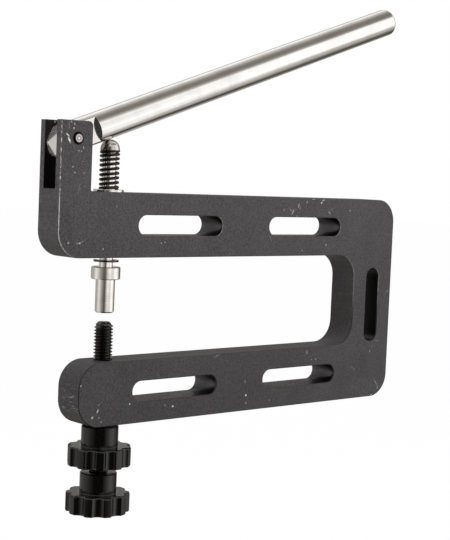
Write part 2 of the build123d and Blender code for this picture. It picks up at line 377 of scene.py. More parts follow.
# %% [markdown]
# ## Flags for the metal
# Bright metal only looks like metal when it has something dark to reflect, so a studio stands black and
# grey flags around it. Ours are three sheets that only show in reflections: a wall round the press, a
# ceiling, and a round ground sheet. Each is shaded from light to dark with a colour ramp, so that the
# bands in the metal have soft edges. The wall and the ceiling fade to the room's white at a border.

# %% Shaded flags
WARM_SHADE = (1.0, 0.93, 0.82)


def shaded_material(name, stops, along, fade):
    """An emission painted by a ramp. along and fade build their values in the material's own tree."""
    material, tree, shader = start_material(name)
    tree.nodes.remove(shader)
    spot = three_parts(tree, coordinates(tree, "Object"))
    ramp = add_node(tree, "ShaderNodeValToRGB", Fac=along(tree, spot))
    elements = ramp.color_ramp.elements
    while len(elements) < len(stops):
        elements.new(0.5)
    # Moving a stop can change their order, so all are moved before any is coloured.
    for element, (position, _) in zip(elements, stops):
        element.position = position
    for element, (_, grey) in zip(elements, stops):
        depth = max(0.0, 1.0 - grey)
        element.color = (*(grey * (1.0 - depth * (1.0 - warm)) for warm in WARM_SHADE), 1.0)
    colour = mix_colour(tree, fade(tree, spot), ramp.outputs[0], (1.0, 1.0, 1.0))
    glow = add_node(tree, "ShaderNodeEmission", Color=colour)
    tree.links.new(glow.outputs[0], tree.nodes["Material Output"].inputs["Surface"])
    return material


def stand_flag(name, shape, stops, along, fade):
    """Put up a flag with its shades, hidden from everything but glossy rays."""
    flag = stage_object("flag_" + name, shape, shaded_material(name + "_shades", stops, along, fade))
    flag.visible_camera = False
    flag.visible_diffuse = False
    flag.visible_shadow = False
    flag.visible_transmission = False


print("flag helpers ready, with shades as warm as", WARM_SHADE)

# %% [markdown]
# The wall and the ground sheet are shaded by the angle round the press, counted from the camera's side
# and growing to the right. Their shades were set band by band: each band of a polished pin shows one
# narrow slice of the wall.

# %% Shades round the press
WALL_CENTRE = (-0.11, 0.0)
WALL_RADIUS = 1.2
WALL_TOP = 1.0
WALL_FADE_START = 0.55
CAMERA_SIDE = math.radians(90) + CAMERA_YAW
WALL_SHADES = (
    (-180, 0.42), (-160, 0.4), (-120, 0.4), (-100, 0.4), (-83, 0.7), (-69, 0.8), (-55, 0.64),
    (-42, 0.43), (-30, 0.3), (-18, 0.21), (-6, 0.1), (5, 0.13), (15, 0.46), (27, 0.88), (41, 1.05),
    (54, 0.8), (67, 0.76), (82, 1.12), (98, 1.18), (118, 0.74), (138, 0.16), (148, 0.14), (165, 0.3),
    (180, 0.42),
)
GROUND_SHADES = (
    (-180, 0.5), (-150, 0.34), (-105, 0.52), (-75, 0.54), (-40, 0.2), (-20, 0.04), (30, 0.04), (55, 0.5),
    (75, 1.0), (97, 0.95), (103, 0.66), (111, 0.49), (119, 0.42), (129, 0.16), (142, 0.05), (156, 0.25),
    (170, 0.5), (180, 0.5),
)


def angle_round(tree, spot):
    """Angle round the press, 0 to 1, with the camera's side at one half."""
    along_x = math_node(tree, "SUBTRACT", spot["X"], WALL_CENTRE[0])
    along_y = math_node(tree, "SUBTRACT", spot["Y"], WALL_CENTRE[1])
    turn = math_node(tree, "ADD", math_node(tree, "ARCTAN2", along_y, along_x), CAMERA_SIDE)
    turn = math_node(tree, "DIVIDE", turn, 2 * math.pi)
    return math_node(tree, "FRACT", math_node(tree, "ADD", turn, 1.5))


def wall_fade(tree, spot):
    """Fade the wall to the room's white towards its top."""
    return remap(tree, spot["Z"], WALL_FADE_START, WALL_TOP)


def no_fade(tree, spot):
    """Keep the shades up to the border."""
    return 0.0


def angle_stops(shades):
    """Ramp stops, 0 to 1, from angles in degrees."""
    return [((angle + 180) / 360, grey) for angle, grey in shades]


print(len(WALL_SHADES), "shades on the wall,", len(GROUND_SHADES), "on the ground")

# %% [markdown]
# The wall is a circle of edges pulled up into a tube, and the ground sheet is the same circle with a cap.
# Both have enough segments that their corners never show in a polished pin.

# %% Build the wall and the ground sheet
ROUND_SEGMENTS = 96
WALL_LIFT = 0.001
GROUND_LIFT = 0.0005

shape = bmesh.new()
bmesh.ops.create_circle(shape, segments=ROUND_SEGMENTS, radius=WALL_RADIUS)
raised = bmesh.ops.extrude_edge_only(shape, edges=shape.edges[:])
lifted = [item for item in raised["geom"] if isinstance(item, bmesh.types.BMVert)]
bmesh.ops.translate(shape, vec=(0, 0, WALL_TOP - FLOOR_LEVEL), verts=lifted)
bmesh.ops.translate(shape, vec=(*WALL_CENTRE, FLOOR_LEVEL + WALL_LIFT), verts=shape.verts)
stand_flag("wall", shape, angle_stops(WALL_SHADES), angle_round, wall_fade)

shape = bmesh.new()
bmesh.ops.create_circle(shape, cap_ends=True, segments=ROUND_SEGMENTS, radius=WALL_RADIUS)
bmesh.ops.translate(shape, vec=(*WALL_CENTRE, FLOOR_LEVEL + GROUND_LIFT), verts=shape.verts)
stand_flag("ground", shape, angle_stops(GROUND_SHADES), angle_round, no_fade)
print("wall and ground sheet stand round the press")

# %% [markdown]
# The ceiling is shaded from the front of the set to its back. The lever lies under it like a long
# mirror, so its dark middle draws the dark line along the lever.

# %% Ceiling
CEILING_LEVEL = 1.08
CEILING_CENTRE = 0.40
CEILING_REACH = 0.95
CEILING_SOFT_BORDER = 0.3
CEILING_SHADES = (
    (-1.8, 1.15), (-1.4, 1.12), (-1.15, 0.8), (-0.92, 0.56), (-0.73, 0.38), (-0.56, 0.235),
    (-0.42, 0.198), (-0.1, 0.225), (0.05, 0.31), (0.22, 0.49), (0.42, 0.63), (0.6, 0.88), (0.7, 1.0),
)
FRONT, BACK = CEILING_SHADES[0][0], CEILING_SHADES[-1][0]


def front_to_back(tree, spot):
    """Place between the ceiling's front, 0, and its back, 1."""
    return stretch(tree, spot["Y"], FRONT, BACK)


def ceiling_fade(tree, spot):
    """Fade to the room's white over the last stretch before the left and right borders."""
    sideways = math_node(tree, "ABSOLUTE", math_node(tree, "SUBTRACT", spot["X"], CEILING_CENTRE))
    return remap(tree, sideways, CEILING_REACH - CEILING_SOFT_BORDER, CEILING_REACH)


stops = [((y - FRONT) / (BACK - FRONT), grey) for y, grey in CEILING_SHADES]
sheet = flat_sheet(2 * CEILING_REACH, BACK - FRONT, (CEILING_CENTRE, (FRONT + BACK) / 2, CEILING_LEVEL))
stand_flag("ceiling", sheet, stops, front_to_back, ceiling_fade)
print("studio ready: one room, a floor, two lamps and three flags")

# %% [markdown]
# ## Finishes that several pieces share
# A black coating is never one even black. Under a loupe it is a crowd of slightly lighter and darker
# grains over a slower drift. The speckle group gives both, as a factor around 1 for the colour and as a
# height for the bump.

# %% Speckle
FINE_SHARE = 0.8
BROAD_SCALE = 0.09

speckle_group, given, result = start_group(
    "Speckle",
    [("Vector", VECTOR, None), ("Grain", VALUE, 0.5), ("Contrast", VALUE, 1.0)],
    [("Shade", VALUE), ("Height", VALUE)],
)
tree = speckle_group
fine = noise(tree, given["Vector"], math_node(tree, "DIVIDE", 1.0, given["Grain"]), 2.0)[0]
broad = noise(tree, given["Vector"], BROAD_SCALE, 3.0)[0]
fine_part = product(tree, fine, FINE_SHARE)
both = math_node(tree, "ADD", fine_part, product(tree, broad, 1.0 - FINE_SHARE))
swing = product(tree, math_node(tree, "SUBTRACT", both, 0.5), given["Contrast"])
tree.links.new(math_node(tree, "ADD", swing, 1.0), result["Shade"])
tree.links.new(fine, result["Height"])
print("group", speckle_group.name, "has", len(tree.nodes), "nodes")

# %% [markdown]
# Handling leaves nicks, which are small bright dots of bare metal. They come from a Voronoi texture,
# whose cells each carry one random colour. We draw the middle of a cell, and keep only the few cells
# whose colour is low enough.

# %% Nicks
nick_group, given, result = start_group(
    "Nicks",
    [("Vector", VECTOR, None), ("Spacing", VALUE, 4.5), ("Share", VALUE, 0.06)],
    [("Mask", VALUE)],
)
tree = nick_group
wobble = noise(tree, given["Vector"], 0.8, 1.0)["Color"]
moved = vector_node(tree, "ADD", given["Vector"], wobble).outputs[0]
cell_scale = math_node(tree, "DIVIDE", 1.0, given["Spacing"])
cells = add_node(tree, "ShaderNodeTexVoronoi", Vector=moved, Scale=cell_scale).outputs
dot = remap(tree, cells["Distance"], 0.05, 0.13, 1.0, 0.0)
pick = add_node(tree, "ShaderNodeSeparateColor", Color=cells["Color"]).outputs
chosen = math_node(tree, "LESS_THAN", pick[0], given["Share"])
tree.links.new(product(tree, dot, chosen, pick[1]), result["Mask"])
print("group", nick_group.name, "has", len(tree.nodes), "nodes")

# %% [markdown]
# Scratches are short thin strokes. They use the same trick, but the space is turned and then squeezed
# along one direction first, which stretches the dots into strokes. Four turns give four directions.

# %% Scratches
STROKE_SIZE = (12.0, 9.0, 0.8)
STROKE_TURNS = (24.0, -52.0, 83.0, -8.0)

scratch_group, given, result = start_group(
    "Scratches", [("Vector", VECTOR, None), ("Share", VALUE, 0.03)], [("Mask", VALUE)]
)
tree = scratch_group
strokes = 0.0
for turn in STROKE_TURNS:
    turned = add_node(
        tree, "ShaderNodeMapping", Vector=given["Vector"], Rotation=(0.0, math.radians(turn), 0.0),
        Location=(turn, turn, 0.0),
    )
    squeezed = vector_node(tree, "DIVIDE", turned.outputs[0], STROKE_SIZE).outputs[0]
    cells = add_node(tree, "ShaderNodeTexVoronoi", Vector=squeezed, Scale=1.0).outputs
    pick = add_node(tree, "ShaderNodeSeparateColor", Color=cells["Color"]).outputs
    chosen = math_node(tree, "LESS_THAN", pick[0], given["Share"])
    stroke = product(tree, remap(tree, cells["Distance"], 0.04, 0.16, 1.0, 0.0), chosen, pick[1])
    strokes = math_node(tree, "MAXIMUM", strokes, stroke)
tree.links.new(strokes, result["Mask"])
print("group", scratch_group.name, "has", len(tree.nodes), "nodes")

# %% [markdown]
# Turned parts carry fine rings from the tool, round their own axis. The noise is stretched across the
# axis until only the rings are left, and a slower noise stands for thin stains of oil and handling.

# %% Turned grain
ALONG_RINGS = 0.02
STAIN_SCALE = 0.16

turned_group, given, result = start_group(
    "Turned grain",
    [("Vector", VECTOR, None), ("Ring", VALUE, 0.3)],
    [("Rings", VALUE), ("Stain", VALUE)],
)
tree = turned_group
rings = drawn_out(tree, given["Vector"], (1.0, ALONG_RINGS, ALONG_RINGS))
ring_noise = noise(tree, rings, math_node(tree, "DIVIDE", 1.0, given["Ring"]), 2.0)[0]
stains = noise(tree, given["Vector"], STAIN_SCALE, 4.0)[0]
tree.links.new(ring_noise, result["Rings"])
tree.links.new(stains, result["Stain"])
print("group", turned_group.name, "has", len(tree.nodes), "nodes")

# %% [markdown]
# Two last helpers: one turns a height into a bump, the other gives a CAD piece its material. We only swap
# the material in the piece's slots and never touch its mesh, so the CAD shape stays exact.

# %% Bump and paint helpers
def rough_surface(tree, shader, height, strength, depth):
    """Turn a height into a bump on the shader, with its depth in millimetres."""
    bump = add_node(tree, "ShaderNodeBump", Height=height, Strength=strength, Distance=depth * MM)
    plug(tree, shader, "Normal", bump.outputs[0])


def paint_pieces(material, *names):
    """Give CAD pieces one material in all their slots."""
    for name in names:
        for slot in nodes[name].material_slots:
            slot.material = material
    print(material.name, "on", ", ".join(names))


print("bump and paint helpers ready")

# %% [markdown]
# ## The black frame
# The frame is an aluminium or steel plate, cut out, deburred and blackened. Its flat faces are a dark
# satin grey, the walls inside its windows get painted shade, nearly black, and its deburred edges show
# rubbed metal, painted highlights and painted shade. All of that sits in one material, steered by masks.
#
# The first masks tell the areas apart by where a point lies: x runs along the arms, z up, and y through
# the plate. The numbers are the borders of the windows, the lever's slot and the throat.

# %% Masks for the frame's areas
PIVOT_X, PIVOT_Z = -143.0, 51.74
PRESS_X = -127.0
ARM_WINDOWS_X, ARM_WINDOWS_Z = (-132.0, -18.0), (18.0, 34.0)
WEB_WINDOW_X, WEB_WINDOW_Z = (-14.5, -4.5), (-1.0, 16.0)
LEVER_SLOT_Y, LEVER_SLOT_FLOOR = (-3.1, 3.1), (36.2, 36.8)
THROAT_Z = (-1.0, 16.1)

black, tree, shader = start_material("frame_black")
spot, (x, y, z) = in_millimetres(tree)
facing_x, facing_y, facing_z = facing(tree)
height = math_node(tree, "ABSOLUTE", z)
tilt = math_node(tree, "ABSOLUTE", facing_y)
side_wall = remap(tree, tilt, 0.3, 0.6, 1.0, 0.0)
front_side = remap(tree, facing_y, -0.99, -0.9, 1.0, 0.0)
arm_windows = product(tree, band(tree, height, *ARM_WINDOWS_Z, 0.3), band(tree, x, *ARM_WINDOWS_X, 0.5))
web_window = product(tree, band(tree, height, *WEB_WINDOW_Z, 0.1), band(tree, x, *WEB_WINDOW_X, 0.3))
slot_walls = product(tree, band(tree, y, *LEVER_SLOT_Y, 0.05), remap(tree, z, *LEVER_SLOT_FLOOR))
windows = product(tree, math_node(tree, "MAXIMUM", arm_windows, web_window), side_wall)
windows = math_node(tree, "MAXIMUM", windows, slot_walls)
throat = product(
    tree, side_wall, band(tree, height, *THROAT_Z, 0.1), remap(tree, x, -29.0, -22.0),
    remap(tree, x, -19.6, -19.0, 1.0, 0.0),
)
print("the frame's windows, slot and throat are masked")

# %% [markdown]
# The next masks go by the way a point faces. A chamfer faces half to the front and half to the side. The
# worn line runs only down the chamfer at the front left, and the painted shade of the pivot's hole is a disc
# round its axis.

# %% Masks for the frame's edges and the pivot's hole
PIN_HOLE_RIM = (1.85, 2.1)

chamfers = product(tree, remap(tree, tilt, 0.35, 0.6), remap(tree, tilt, 0.8, 0.95, 1.0, 0.0))
front_left = product(
    tree, remap(tree, x, -135.0, -138.0), remap(tree, facing_x, -0.2, -0.4),
    remap(tree, facing_y, -0.3, -0.1, 1.0, 0.0),
)
pin_distance = distance_from(tree, x, PIVOT_X, z, PIVOT_Z)
# Where the painted shade of the pivot's hole lies.
pin_hole_shade = remap(tree, pin_distance, *PIN_HOLE_RIM, 1.0, 0.0)
print("the frame's edges and hole are masked")

# %% [markdown]
# Use has left its own marks on the front face. A stroke is given in millimetres along x and z by its two
# ends, a width and a strength, and a nick by its middle, a radius and a strength.

# %% Marks on the frame's front
FRONT_STROKES = (
    (-147.35, 52.93, -146.18, 52.2, 0.28, 1.0), (-146.6, 51.89, -145.74, 50.32, 0.42, 1.1),
    (-144.46, 56.4, -144.41, 55.38, 0.2, 0.5), (-141.08, 49.5, -140.78, 48.48, 0.2, 0.5),
    (-141.49, 39.41, -142.64, 34.09, 0.14, 0.15), (-52.75, 30.3, -51.95, 31.75, 0.26, 0.75),
    (-52.3, 31.2, -53.97, 32.1, 0.16, 0.35), (-49.9, 32.4, -49.4, 34.12, 0.26, 0.6),
    (-49.1, 31.9, -48.7, 33.0, 0.2, 0.35), (-45.8, 34.1, -45.55, 35.0, 0.22, 0.4),
    (-38.8, 34.2, -38.2, 34.7, 0.36, 0.7), (-38.3, 35.3, -36.9, 35.45, 0.26, 0.85),
    (-43.2, 35.55, -41.8, 35.6, 0.2, 0.5), (-50.4, 29.75, -50.1, 29.6, 0.28, 0.5),
    (-46.2, 29.6, -45.6, 29.5, 0.22, 0.4), (-34.6, 31.2, -34.0, 30.8, 0.5, 0.35),
    (-105.75, -30.7, -105.6, -31.6, 0.16, 0.5), (-132.5, -31.4, -132.05, -30.4, 0.26, 0.9),
    (-131.95, -29.2, -131.75, -28.8, 0.22, 0.5), (-131.8, -32.8, -131.6, -33.1, 0.24, 0.45),
    (-71.35, -25.8, -71.2, -26.5, 0.26, 0.5), (-39.9, -21.8, -39.75, -21.95, 0.2, 0.35),
    (-19.0, -24.3, -18.6, -24.7, 0.16, 0.5), (-17.8, -25.2, -17.5, -25.5, 0.16, 0.4),
    (-6.92, -29.3, -3.87, -33.24, 0.13, 0.45), (-4.48, -32.7, -4.7, -33.6, 0.22, 0.45),
    (-8.0, -35.55, -7.2, -35.65, 0.22, 0.8),
)
FRONT_NICKS = (
    (-144.69, 54.58, 0.36, 0.6), (-145.59, 56.44, 0.36, 0.6), (-142.54, 48.05, 0.3, 0.5),
    (-141.73, 47.945, 0.3, 0.5), (-144.57, 43.19, 0.3, 0.5), (-143.71, 41.6, 0.3, 0.5),
    (-141.02, 44.965, 0.264, 0.4), (-140.47, 41.53, 0.264, 0.4), (-145.375, 20.64, 0.384, 0.6),
    (-142.05, 20.425, 0.312, 0.35), (-141.175, 20.525, 0.408, 0.6), (-132.4, 18.775, 0.36, 0.45),
    (-109.75, 20.49, 0.3, 0.45), (-108.34, 20.74, 0.3, 0.45), (-127.85, 31.8, 0.312, 0.3),
    (-56.7, 31.7, 0.36, 0.35), (-23.85, 31.9, 0.36, 0.4), (-33.0, 32.4, 0.288, 0.35),
    (-35.325, 19.7, 0.408, 0.6), (-47.075, 17.9, 0.312, 0.35), (-1.8, 2.625, 0.36, 0.5),
    (-119.9, -29.7, 0.36, 0.85), (-102.475, -31.85, 0.408, 0.9), (-134.25, -32.75, 0.54, 0.45),
    (-130.8, -34.4, 0.336, 0.5), (-138.85, -22.65, 0.336, 0.5), (-70.625, -30.775, 0.48, 1.0),
    (-70.475, -33.4, 0.336, 0.4), (-59.75, -33.3, 0.312, 0.4), (-39.9, -20.525, 0.288, 0.45),
    (-37.8, -20.525, 0.288, 0.45), (-9.75, -19.275, 0.336, 0.5), (-8.675, -17.475, 0.288, 0.3),
)
print(len(FRONT_STROKES), "strokes and", len(FRONT_NICKS), "nicks on the front face")

# %% [markdown]
# To draw a mark we measure how far a point lies from its middle, and let the strength fall from there to
# the rim. A stroke counts that in its own half length and width, which its Mapping node lays down. A noise
# shifts the point first, so that no rim is smooth. The strongest mark at a point wins.

# %% Draw the marks
RAGGED = 0.5
FRONT_PLANE = (1.0, 0.0, 1.0)

ragged = noise(tree, spot, 3.0, 1.0)["Color"]
shifted = vector_node(tree, "MULTIPLY_ADD", ragged, (RAGGED, 0.0, RAGGED))
plug(tree, shifted, "2", vector_node(tree, "MULTIPLY_ADD", spot, FRONT_PLANE).outputs[0])
shifted = shifted.outputs[0]


def add_mark(tree, marks, reach, fall, strength):
    """Lay a mark over the earlier ones, with a strength that falls with the reach from its middle."""
    mark = math_node(tree, "MULTIPLY_ADD", reach, fall)
    plug(tree, mark.node, "2", strength)
    return math_node(tree, "MAXIMUM", marks, mark)


own_marks = 0.0
for start_x, start_z, end_x, end_z, width, strength in FRONT_STROKES:
    laid = add_node(
        tree, "ShaderNodeMapping", {"vector_type": "TEXTURE"}, Vector=shifted,
        Location=((start_x + end_x + RAGGED) / 2, 0.0, (start_z + end_z + RAGGED) / 2),
        Rotation=(0.0, -math.atan2(end_z - start_z, end_x - start_x), 0.0),
        Scale=(math.hypot(end_x - start_x, end_z - start_z) / 2 + width, 1.0, width),
    )
    reach = vector_node(tree, "LENGTH", laid.outputs[0]).outputs["Value"]
    own_marks = add_mark(tree, own_marks, reach, -strength, strength)
for nick_x, nick_z, radius, strength in FRONT_NICKS:
    middle = (nick_x + RAGGED / 2, 0.0, nick_z + RAGGED / 2)
    reach = vector_node(tree, "DISTANCE", shifted, middle).outputs["Value"]
    own_marks = add_mark(tree, own_marks, reach, -strength / radius, strength)
own_marks = product(tree, own_marks, front_side)
print("the marks are drawn, in a tree of", len(tree.nodes), "nodes")

# %% [markdown]
# Now the frame's colour is laid down in the order the real one came about. First comes the black finish:
# its grain, a painted shade that runs from a lighter top to a darker foot, a lighter stretch at the right
# end of the lower arm, painted light on the faces of the upper part that face left, and on the side walls
# the streaks of the milling cutter. The inside of the throat gets painted shade, a little darker and browner.

# %% The black finish
PLATE_BLACK = (0.0440, 0.0415, 0.0425)
THROAT_PAINTED_SHADE = (0.018, 0.014, 0.013)

speckle = use_group(tree, speckle_group, Vector=spot, Grain=0.60, Contrast=2.7)
# Painted shade: the colour is lighter towards the top and darker towards the foot.
painted_light_falloff = remap(tree, z, -40.0, 45.0, 0.78, 1.05)
# Lighter towards the right end of the lower arm.
right_lift = product(tree, remap(tree, x, -70.0, -5.0, 0.0, 0.12), remap(tree, z, 5.0, -20.0))
# Painted light from the left on the faces that face left, above the middle.
painted_left_light = product(tree, remap(tree, facing_x, -0.8, -0.95), remap(tree, z, 0.0, 20.0), 0.16)
painted_light_falloff = math_node(tree, "ADD", painted_light_falloff, math_node(tree, "ADD", right_lift, painted_left_light))
milled = noise(tree, drawn_out(tree, spot, (1.0, 0.05, 1.0)), 0.8, 3.0)[0]
streaks = product(tree, side_wall, math_node(tree, "SUBTRACT", milled, 0.5), 0.75)
streaks = math_node(tree, "ADD", 1.0, streaks)
plate = shade_colour(tree, PLATE_BLACK, product(tree, speckle["Shade"], painted_light_falloff, streaks))
# Painted shade in the throat: its walls are darker and browner.
plate = mix_colour(tree, product(tree, throat, 0.36), plate, THROAT_PAINTED_SHADE)
print("black finish laid over", PLATE_BLACK)

# %% [markdown]
# The windows' walls get painted shade, nearly black, apart from a painted sheen deep inside on the parts
# that face the pressing end. The painted sheen starts deeper where the wall turns away, which turned_off
# follows.

# %% Inside the windows
INSIDE_PAINTED_SHADE = (0.002, 0.0018, 0.0018)
INSIDE_PAINTED_SHEEN = (0.140, 0.133, 0.139)
SHEEN_TURN = 12.6

turned_off = product(tree, math_node(tree, "ADD", 1.0, facing_x), SHEEN_TURN)
# A painted sheen, stronger on walls that face up than on walls that face down.
painted_sheen = product(
    tree, remap(tree, facing_x, -0.60, -0.97), remap(tree, facing_z, -0.45, 0.15, 0.30, 1.0),
    remap(tree, math_node(tree, "SUBTRACT", y, turned_off), -6.0, -2.6), arm_windows,
)
# Painted shade inside the windows and the lever's slot, with the painted sheen over it.
plate = mix_colour(tree, windows, plate, mix_colour(tree, painted_sheen, INSIDE_PAINTED_SHADE, INSIDE_PAINTED_SHEEN))
print("the windows are dark inside")

# %% [markdown]
# Hands and work rub the edges. The chamfers of the lower arm that face left get painted shade, the
# chamfers of the upper arm show a dull rim of rubbed metal and painted highlight, and the front left chamfer
# is worn bright: a line up to the ears, and dots above it.

# %% Rubbed edges
EDGE_PAINTED_SHADE = (0.007, 0.006, 0.006)
EDGE_RUB_AND_HIGHLIGHT = (0.15, 0.135, 0.13)
EDGE_WORN = (0.52, 0.505, 0.50)
HOLE_PAINTED_SHADE = (0.006, 0.004, 0.004)

rub = noise(tree, spot, 1.3, 3.0)[0]
# Painted shade on the chamfers of the lower arm that face left.
lower_edge_shade = product(
    tree, chamfers, remap(tree, facing_x, -0.1, -0.35), remap(tree, z, 4.0, -8.0, 0.0, 0.85)
)
plate = mix_colour(tree, lower_edge_shade, plate, EDGE_PAINTED_SHADE)
# The dull rim is partly rubbed metal, partly a painted highlight, strongest on chamfers that face left.
rim = product(
    tree, chamfers, remap(tree, facing_x, 0.0, -0.5, 0.15, 1.0), remap(tree, rub, 0.35, 0.7, 0.35, 0.9),
    remap(tree, z, -6.0, 6.0, 0.05, 1.0),
)
plate = mix_colour(tree, rim, plate, EDGE_RUB_AND_HIGHLIGHT)
worn_line = product(tree, remap(tree, z, 8.0, 24.0, 0.0, 0.75), remap(tree, z, 34.0, 37.0, 0.55, 0.0))
worn_dots = product(
    tree, remap(tree, z, 34.0, 37.0), remap(tree, rub, 0.50, 0.62), remap(tree, z, 44.0, 56.0, 0.75, 0.45)
)
worn_line = product(tree, worn_line, remap(tree, rub, 0.35, 0.6, 0.55, 1.0))
worn = math_node(tree, "MAXIMUM", worn_line, worn_dots)
plate = mix_colour(tree, product(tree, chamfers, front_left, worn), plate, EDGE_WORN)
# Painted shade in the pivot's hole, round the pin.
plate = mix_colour(tree, pin_hole_shade, plate, HOLE_PAINTED_SHADE)
print("the edges are rubbed, and the pivot's hole is dark")

# %% [markdown]
# Last come the nicks and scratches of the two groups, kept faint and out of the windows, a few fine
# strokes on the end of the lower arm, and the frame's own marks over them.

# %% Nicks, scratches and the frame's own marks
BARE_METAL = (0.66, 0.64, 0.62)

nicks = use_group(tree, nick_group, Vector=spot, Spacing=7.0, Share=0.05)
scratches = use_group(tree, scratch_group, Vector=spot, Share=0.018)
marks = product(tree, math_node(tree, "MAXIMUM", nicks["Mask"], scratches["Mask"]), 0.35)
marks = product(tree, marks, inverse(tree, windows))
fine = noise(tree, drawn_out(tree, spot, (1.0, 0.09, 1.0)), 2.6, 2.0)[0]
end_marks = product(
    tree, remap(tree, facing_x, -0.85, -0.97), band(tree, z, -31.5, -23.0, 2.0),
    remap(tree, fine, 0.60, 0.68), 0.18,
)
marks = math_node(tree, "MAXIMUM", marks, end_marks)
plate = mix_colour(tree, math_node(tree, "MAXIMUM", marks, own_marks), plate, BARE_METAL)
plug(tree, shader, "Base Color", plate)
print("the frame's colour is complete")

# %% [markdown]
# The finish is satin: rougher where the grain is light, and smoother inside the windows, where nothing
# has rubbed it. The grain also gives a slight bump.

# %% The frame's gloss and bump
satin = remap(tree, speckle["Shade"], 0.7, 1.3, 0.46, 0.62)
satin = math_node(tree, "SUBTRACT", satin, product(tree, windows, 0.18))
plug(tree, shader, "Roughness", satin)
plug(tree, shader, "Specular IOR Level", 0.25)
rough_surface(tree, shader, speckle["Height"], 0.25, 0.05)
paint_pieces(black, "c_frame")

# %% [markdown]
# ## The bright steel
# The lever, the plunger and the pins are turned from bar and polished. A small function builds the
# material, because only the axis of the rings, the tone and the polish change from piece to piece.

# %% Turned steel
RING_CONTRAST = 0.10


def steel(name, colour, ring, roughness, turn):
    """Bright turned steel whose rings run round the piece's own axis. Returns what later steps refine."""
    material, tree, shader = start_material(name)
    spot, parts = in_millimetres(tree)
    along = add_node(tree, "ShaderNodeMapping", Vector=spot, Rotation=turn).outputs[0]
    grain = use_group(tree, turned_group, Vector=along, Ring=ring)
    shade = product(tree, math_node(tree, "SUBTRACT", grain["Rings"], 0.5), RING_CONTRAST)
    stained = remap(tree, grain["Stain"], 0.35, 0.75, 1.02, 0.88)
    tone = shade_colour(tree, colour, math_node(tree, "ADD", stained, shade))
    polish = remap(tree, grain["Stain"], 0.3, 0.7, roughness * 0.85, roughness * 1.3)
    plug(tree, shader, "Metallic", 1.0)
    plug(tree, shader, "Base Color", tone)
    plug(tree, shader, "Roughness", polish)
    rough_surface(tree, shader, grain["Rings"], 0.10, 0.02)
    return material, tree, shader, parts, tone, polish


print("steel turns rings with a contrast of", RING_CONTRAST)

# %% [markdown]
# The lever is one long bar. Its tongue, which works inside the frame's slot, is handled and greased, so
# the last millimetres behind the pivot get a slightly duller and rougher surface.

# %% The lever
LEVER_TILT = math.radians(19.4)
TONGUE_END = (-2.0, -1.0)
TONGUE_STEEL = (0.95, 0.93, 0.905)

lever, tree, shader, (x, _, z), tone, polish = steel(
    "lever_plated", colour=(0.94, 0.92, 0.89), ring=0.35, roughness=0.10, turn=(0.0, LEVER_TILT, 0.0)
)
along_x = product(tree, math_node(tree, "SUBTRACT", x, PIVOT_X), math.cos(LEVER_TILT))
along_z = product(tree, math_node(tree, "SUBTRACT", z, PIVOT_Z), math.sin(LEVER_TILT))
dulled = remap(tree, math_node(tree, "ADD", along_x, along_z), *TONGUE_END, 1.0, 0.0)
less_metal = inverse(tree, product(tree, dulled, 0.10))
rougher = math_node(tree, "ADD", polish, product(tree, dulled, 0.05))
plug(tree, shader, "Base Color", mix_colour(tree, dulled, tone, TONGUE_STEEL))
plug(tree, shader, "Metallic", less_metal)
plug(tree, shader, "Roughness", rougher)
paint_pieces(lever, "lever_handle")

# %% [markdown]
# The plunger, its press pin and the washer are turned upright, so their rings lie level. The plunger's
# dome is rubbed by the lever, and its colour is darker and browner, most on its side towards the pivot.

# %% The plunger, its pin and the washer
UPRIGHT = (0.0, math.radians(90), 0.0)
DOME_FOOT = (45.5, 48.0)
DOME_DARK_BROWN = (0.36, 0.31, 0.27)

upright, tree, shader, (_, _, z), tone, _ = steel(
    "turned_steel", colour=(0.94, 0.905, 0.865), ring=0.30, roughness=0.11, turn=UPRIGHT
)
# The dome is made darker and browner, most on the side that faces the pivot.
dome_darkening = product(tree, remap(tree, z, *DOME_FOOT), remap(tree, facing(tree)["X"], 0.35, -0.75, 0.15, 0.85))
plug(tree, shader, "Base Color", mix_colour(tree, dome_darkening, tone, DOME_DARK_BROWN))
paint_pieces(upright, "plunger_rod", "press_pin", "spring_washer")

# %% [markdown]
# The pivot pin lies across the frame. Its face gets a painted highlight at the centre, a darker ring round
# it, and painted shade round its rim. All three are bands of distance from its axis.

# %% The pivot pin
PIN_GROOVE = (0.40, 0.75)
PIN_CENTRE_HIGHLIGHT = (0.25, 0.42)
PIN_RIM_SHADE = (1.10, 1.30)

pivot, tree, shader, (x, _, z), tone, _ = steel(
    "pivot_steel", colour=(0.60, 0.545, 0.54), ring=0.25, roughness=0.24, turn=(0.0, 0.0, math.radians(90))
)
off_axis = distance_from(tree, x, PIVOT_X, z, PIVOT_Z)
# A darker ring round the centre.
dark_ring = product(tree, band(tree, off_axis, *PIN_GROOVE, 0.10), 0.7)
tone = mix_colour(tree, dark_ring, tone, (0.20, 0.16, 0.16))
# A painted highlight at the centre of the face.
tone = mix_colour(tree, remap(tree, off_axis, *PIN_CENTRE_HIGHLIGHT, 0.9, 0.0), tone, (0.95, 0.93, 0.92))
# Painted shade round the rim of the face.
tone = mix_colour(tree, remap(tree, off_axis, *PIN_RIM_SHADE), tone, (0.05, 0.035, 0.035))
plug(tree, shader, "Base Color", tone)
paint_pieces(pivot, "pivot_pin")

# %% [markdown]
# ## Spring wire, black oxide, moulded plastic and brass
# The dark finishes differ in colour, grain and gloss, but are built alike: the speckle group shades the
# colour, moves the roughness a little, and lifts the bump. One function builds them all.

# %% Dark finishes
BUMP_DEPTH = 0.04


